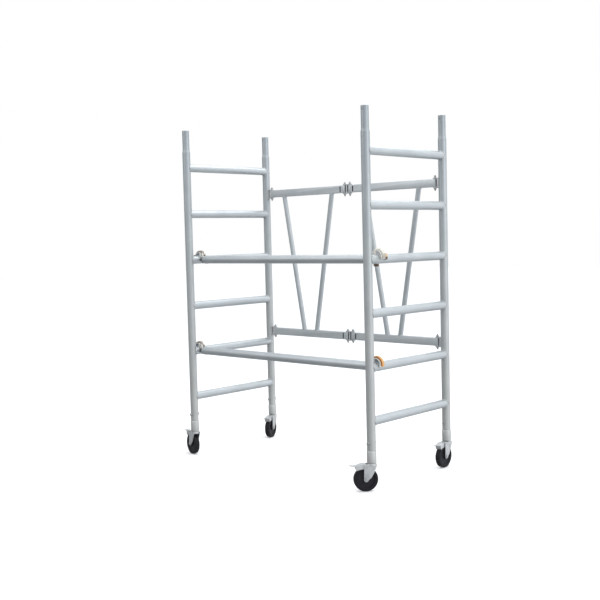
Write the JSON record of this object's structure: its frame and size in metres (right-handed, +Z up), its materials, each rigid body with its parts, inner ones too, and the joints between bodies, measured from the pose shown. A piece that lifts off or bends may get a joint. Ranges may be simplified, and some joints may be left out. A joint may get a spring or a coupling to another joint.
{
  "type": "baker scaffold",
  "caption": "Folding rolling scaffold base: ladder frames joined by a hinged gate and clip-on braces, on braked swivel castors.",
  "frame": {"origin": "on the floor, below the middle of the whole outline", "axes": "+X along the scaffold towards the right-hand frame, +Y from the open braced front to the gate, +Z up"},
  "size_m": [1.689, 0.8758, 2.13],
  "materials": {
    "aluminium": "mill finish, lightly brushed",
    "zinc": "zinc plated",
    "cast": "cast, matt",
    "orange": "satin orange",
    "black_wheel": "matt black"
  },
  "bodies": {
    "gate_link": {"lower_gate_link": "zinc", "upper_gate_link": "zinc"},
    "right_frame": {"right_front_upright": "aluminium", "right_rear_upright": "aluminium", "right_rung_1": "aluminium", "right_rung_2": "aluminium", "right_rung_3": "aluminium", "right_rung_4": "aluminium", "right_rung_5": "aluminium", "right_rung_6": "aluminium", "right_lower_gate_bracket": "zinc", "right_lower_gate_pin": "zinc", "right_upper_gate_bracket": "zinc", "right_upper_gate_pin": "zinc", "right_front_castor_stem": "zinc", "right_rear_castor_stem": "zinc"},
    "right_gate": {"right_gate_lower_rail": "aluminium", "right_gate_upper_rail": "aluminium", "right_gate_outer_diagonal": "aluminium", "right_gate_inner_diagonal": "aluminium"},
    "left_frame": {"left_front_upright": "aluminium", "left_rear_upright": "aluminium", "left_rung_1": "aluminium", "left_rung_2": "aluminium", "left_rung_3": "aluminium", "left_rung_4": "aluminium", "left_rung_5": "aluminium", "left_rung_6": "aluminium", "left_lower_gate_bracket": "zinc", "left_lower_gate_pin": "zinc", "left_upper_gate_bracket": "zinc", "left_upper_gate_pin": "zinc", "left_front_castor_stem": "zinc", "left_rear_castor_stem": "zinc"},
    "left_gate": {"left_gate_lower_rail": "aluminium", "left_gate_upper_rail": "aluminium", "left_gate_outer_diagonal": "aluminium", "left_gate_inner_diagonal": "aluminium"},
    "lower_brace": {"lower_brace_tube": "aluminium", "lower_brace_right_hook": "cast", "lower_brace_left_hook": "cast"},
    "lower_brace_right_lever": {"lower_brace_right_lever": "orange"},
    "lower_brace_left_lever": {"lower_brace_left_lever": "orange"},
    "upper_brace": {"upper_brace_tube": "aluminium", "upper_brace_right_hook": "cast", "upper_brace_left_hook": "cast"},
    "upper_brace_right_lever": {"upper_brace_right_lever": "orange"},
    "upper_brace_left_lever": {"upper_brace_left_lever": "orange"},
    "right_front_fork": {"right_front_castor_fork": "zinc"},
    "right_front_wheel": {"right_front_castor_wheel": "black_wheel"},
    "right_front_pedal": {"right_front_brake_pedal": "zinc"},
    "right_rear_fork": {"right_rear_castor_fork": "zinc"},
    "right_rear_wheel": {"right_rear_castor_wheel": "black_wheel"},
    "right_rear_pedal": {"right_rear_brake_pedal": "zinc"},
    "left_front_fork": {"left_front_castor_fork": "zinc"},
    "left_front_wheel": {"left_front_castor_wheel": "black_wheel"},
    "left_front_pedal": {"left_front_brake_pedal": "zinc"},
    "left_rear_fork": {"left_rear_castor_fork": "zinc"},
    "left_rear_wheel": {"left_rear_castor_wheel": "black_wheel"},
    "left_rear_pedal": {"left_rear_brake_pedal": "zinc"}
  },
  "joints": [
    {"name": "gate_fold", "type": "hinge", "parent": "gate_link", "child": "right_gate", "pos_m": [0.05749, 0.40266, 0.763], "axis": [0, 0, -1], "range_deg": [0, 85]},
    {"name": "gate_link_left_pin", "type": "hinge", "parent": "gate_link", "child": "left_gate", "pos_m": [0.01349, 0.40266, 0.763], "axis": [0, 0, 1], "range_deg": [0, 85]},
    {"name": "right_gate_pin", "type": "hinge", "parent": "right_gate", "child": "right_frame", "pos_m": [0.73049, 0.40266, 0.763], "axis": [0, 0, 1], "range_deg": [0, 85]},
    {"name": "left_gate_pin", "type": "hinge", "parent": "left_gate", "child": "left_frame", "pos_m": [-0.65951, 0.40266, 0.763], "axis": [0, 0, -1], "range_deg": [0, 85]},
    {"name": "lower_brace_tilt", "type": "hinge", "parent": "right_frame", "child": "lower_brace", "pos_m": [0.78549, -0.26234, 0.69], "axis": [0, 1, 0], "range_deg": [0, 20.5]},
    {"name": "lower_brace_right_lever_hinge", "type": "hinge", "parent": "lower_brace", "child": "lower_brace_right_lever", "pos_m": [0.75549, -0.26234, 0.723], "axis": [0, -1, 0], "range_deg": [0, 24], "stiffness_Nm_per_rad": 0.6, "springref_deg": -20.05},
    {"name": "lower_brace_left_lever_hinge", "type": "hinge", "parent": "lower_brace", "child": "lower_brace_left_lever", "pos_m": [-0.68451, -0.26234, 0.723], "axis": [0, 1, 0], "range_deg": [0, 24], "stiffness_Nm_per_rad": 0.6, "springref_deg": -20.05},
    {"name": "upper_brace_tilt", "type": "hinge", "parent": "right_frame", "child": "upper_brace", "pos_m": [0.78549, -0.23234, 1.29], "axis": [0, 1, 0], "range_deg": [0, 20.5]},
    {"name": "upper_brace_right_lever_hinge", "type": "hinge", "parent": "upper_brace", "child": "upper_brace_right_lever", "pos_m": [0.75549, -0.23234, 1.323], "axis": [0, -1, 0], "range_deg": [0, 24], "stiffness_Nm_per_rad": 0.6, "springref_deg": -20.05},
    {"name": "upper_brace_left_lever_hinge", "type": "hinge", "parent": "upper_brace", "child": "upper_brace_left_lever", "pos_m": [-0.68451, -0.23234, 1.323], "axis": [0, 1, 0], "range_deg": [0, 24], "stiffness_Nm_per_rad": 0.6, "springref_deg": -20.05},
    {"name": "right_front_swivel", "type": "hinge", "parent": "right_frame", "child": "right_front_fork", "pos_m": [0.78549, -0.32734, 0.15], "axis": [0, 0, 1], "continuous": true},
    {"name": "right_front_wheel_spin", "type": "hinge", "parent": "right_front_fork", "child": "right_front_wheel", "pos_m": [0.76235, -0.35492, 0.069], "axis": [0.766, -0.6428, 0], "continuous": true},
    {"name": "right_front_pedal_hinge", "type": "hinge", "parent": "right_front_fork", "child": "right_front_pedal", "pos_m": [0.75721, -0.36105, 0.149], "axis": [-0.766, 0.6428, 0], "range_deg": [0, 14]},
    {"name": "right_rear_swivel", "type": "hinge", "parent": "right_frame", "child": "right_rear_fork", "pos_m": [0.78549, 0.40266, 0.15], "axis": [0, 0, 1], "continuous": true},
    {"name": "right_rear_wheel_spin", "type": "hinge", "parent": "right_rear_fork", "child": "right_rear_wheel", "pos_m": [0.78643, 0.36667, 0.069], "axis": [0.9997, 0.0262, 0], "continuous": true},
    {"name": "right_rear_pedal_hinge", "type": "hinge", "parent": "right_rear_fork", "child": "right_rear_pedal", "pos_m": [0.78664, 0.35868, 0.149], "axis": [-0.9997, -0.0262, 0], "range_deg": [0, 14]},
    {"name": "left_front_swivel", "type": "hinge", "parent": "left_frame", "child": "left_front_fork", "pos_m": [-0.71451, -0.32734, 0.15], "axis": [0, 0, 1], "continuous": true},
    {"name": "left_front_wheel_spin", "type": "hinge", "parent": "left_front_fork", "child": "left_front_wheel", "pos_m": [-0.74928, -0.31802, 0.069], "axis": [-0.2588, -0.9659, 0], "continuous": true},
    {"name": "left_front_pedal_hinge", "type": "hinge", "parent": "left_front_fork", "child": "left_front_pedal", "pos_m": [-0.75701, -0.31595, 0.149], "axis": [0.2588, 0.9659, 0], "range_deg": [0, 14]},
    {"name": "left_rear_swivel", "type": "hinge", "parent": "left_frame", "child": "left_rear_fork", "pos_m": [-0.71451, 0.40266, 0.15], "axis": [0, 0, 1], "continuous": true},
    {"name": "left_rear_wheel_spin", "type": "hinge", "parent": "left_rear_fork", "child": "left_rear_wheel", "pos_m": [-0.7019, 0.36894, 0.069], "axis": [0.9367, 0.3502, 0], "continuous": true},
    {"name": "left_rear_pedal_hinge", "type": "hinge", "parent": "left_rear_fork", "child": "left_rear_pedal", "pos_m": [-0.6991, 0.36145, 0.149], "axis": [-0.9367, -0.3502, 0], "range_deg": [0, 14]}
  ],
  "couplings": [
    {"joint": "gate_link_left_pin", "follows": "gate_fold", "ratio": 1},
    {"joint": "right_gate_pin", "follows": "gate_fold", "ratio": 1},
    {"joint": "left_gate_pin", "follows": "gate_fold", "ratio": 1},
    {"joint": "lower_brace_tilt", "follows": "gate_fold", "ratio": 0.24},
    {"joint": "upper_brace_tilt", "follows": "gate_fold", "ratio": 0.24}
  ]
}
